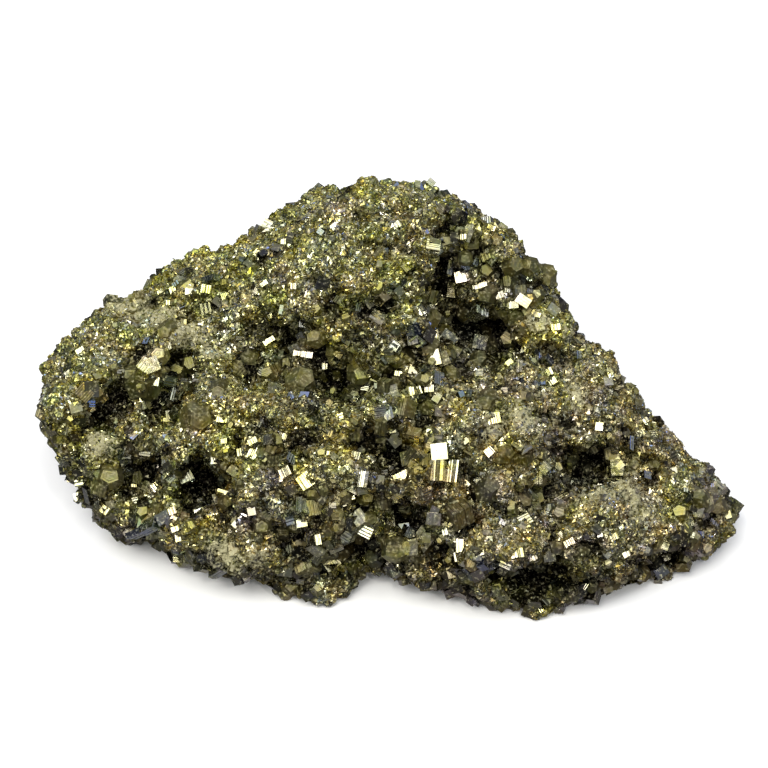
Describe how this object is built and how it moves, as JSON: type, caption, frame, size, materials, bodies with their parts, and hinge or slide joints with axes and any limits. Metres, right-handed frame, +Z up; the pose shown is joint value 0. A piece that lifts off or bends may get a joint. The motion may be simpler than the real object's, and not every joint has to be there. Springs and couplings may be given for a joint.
{
  "type": "pyrite specimen",
  "caption": "Cabinet-sized mass of iron pyrite: rounded lumps crusted with cubes and pyritohedra, dark hollows between them, broken level underside",
  "frame": {"origin": "middle of the bounding box, on the plane that the specimen lies on", "axes": "+Z up out of that plane, +X along the length towards the thin right-hand end, +Y towards the back, away from the front that is crusted with the large crystals"},
  "size_m": [0.1234, 0.0766, 0.0529],
  "materials": {
    "pyrite": "satin"
  },
  "bodies": {
    "root": {"pyrite_mass": "pyrite"}
  },
  "joints": []
}
